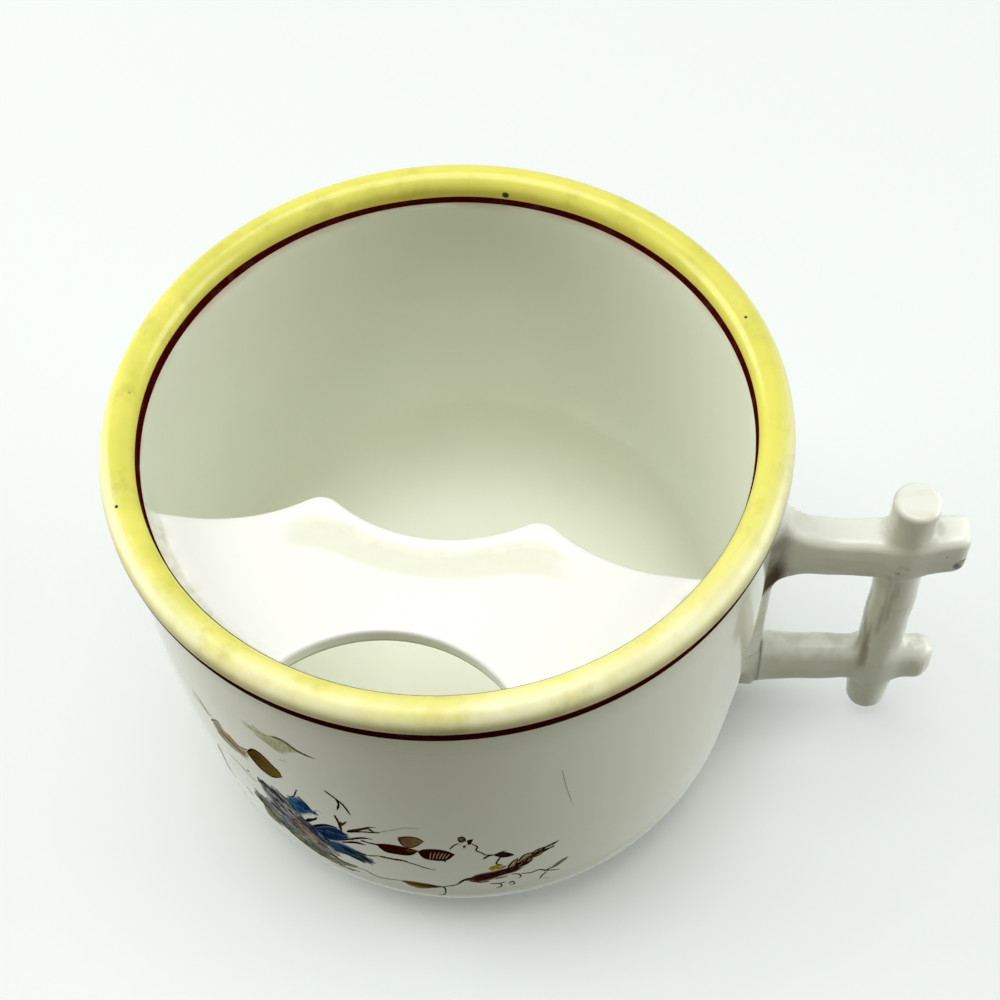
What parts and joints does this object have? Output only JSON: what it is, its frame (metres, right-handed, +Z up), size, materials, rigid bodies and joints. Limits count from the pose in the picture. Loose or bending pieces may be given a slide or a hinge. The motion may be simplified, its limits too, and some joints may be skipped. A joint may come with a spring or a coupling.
{
  "type": "mustache cup",
  "caption": "Straight-sided porcelain cup with a rolled rim, a scalloped moustache guard with a drinking hole across part of the mouth, and a square handle of crossed sticks.",
  "frame": {"origin": "centre of the foot ring's flat face, on the table", "axes": "+Z up along the cup's axis, +X towards the handle, the guard and the drinking hole towards -Y"},
  "size_m": [0.116, 0.0902, 0.0741],
  "materials": {
    "body_glaze": "clear glaze on greyish white porcelain",
    "guard_glaze": "clear glaze on white porcelain",
    "yellow_enamel": "worn glossy overglaze enamel",
    "maroon_enamel": "glossy overglaze enamel line"
  },
  "bodies": {
    "root": {"cup_body": "body_glaze", "mustache_guard": "guard_glaze", "handle_wall_stick": "body_glaze", "handle_upper_bar": "body_glaze", "handle_lower_bar": "body_glaze", "handle_outer_stick": "body_glaze", "rim_band": "yellow_enamel", "inner_line": "maroon_enamel", "outer_line": "maroon_enamel"}
  },
  "joints": []
}
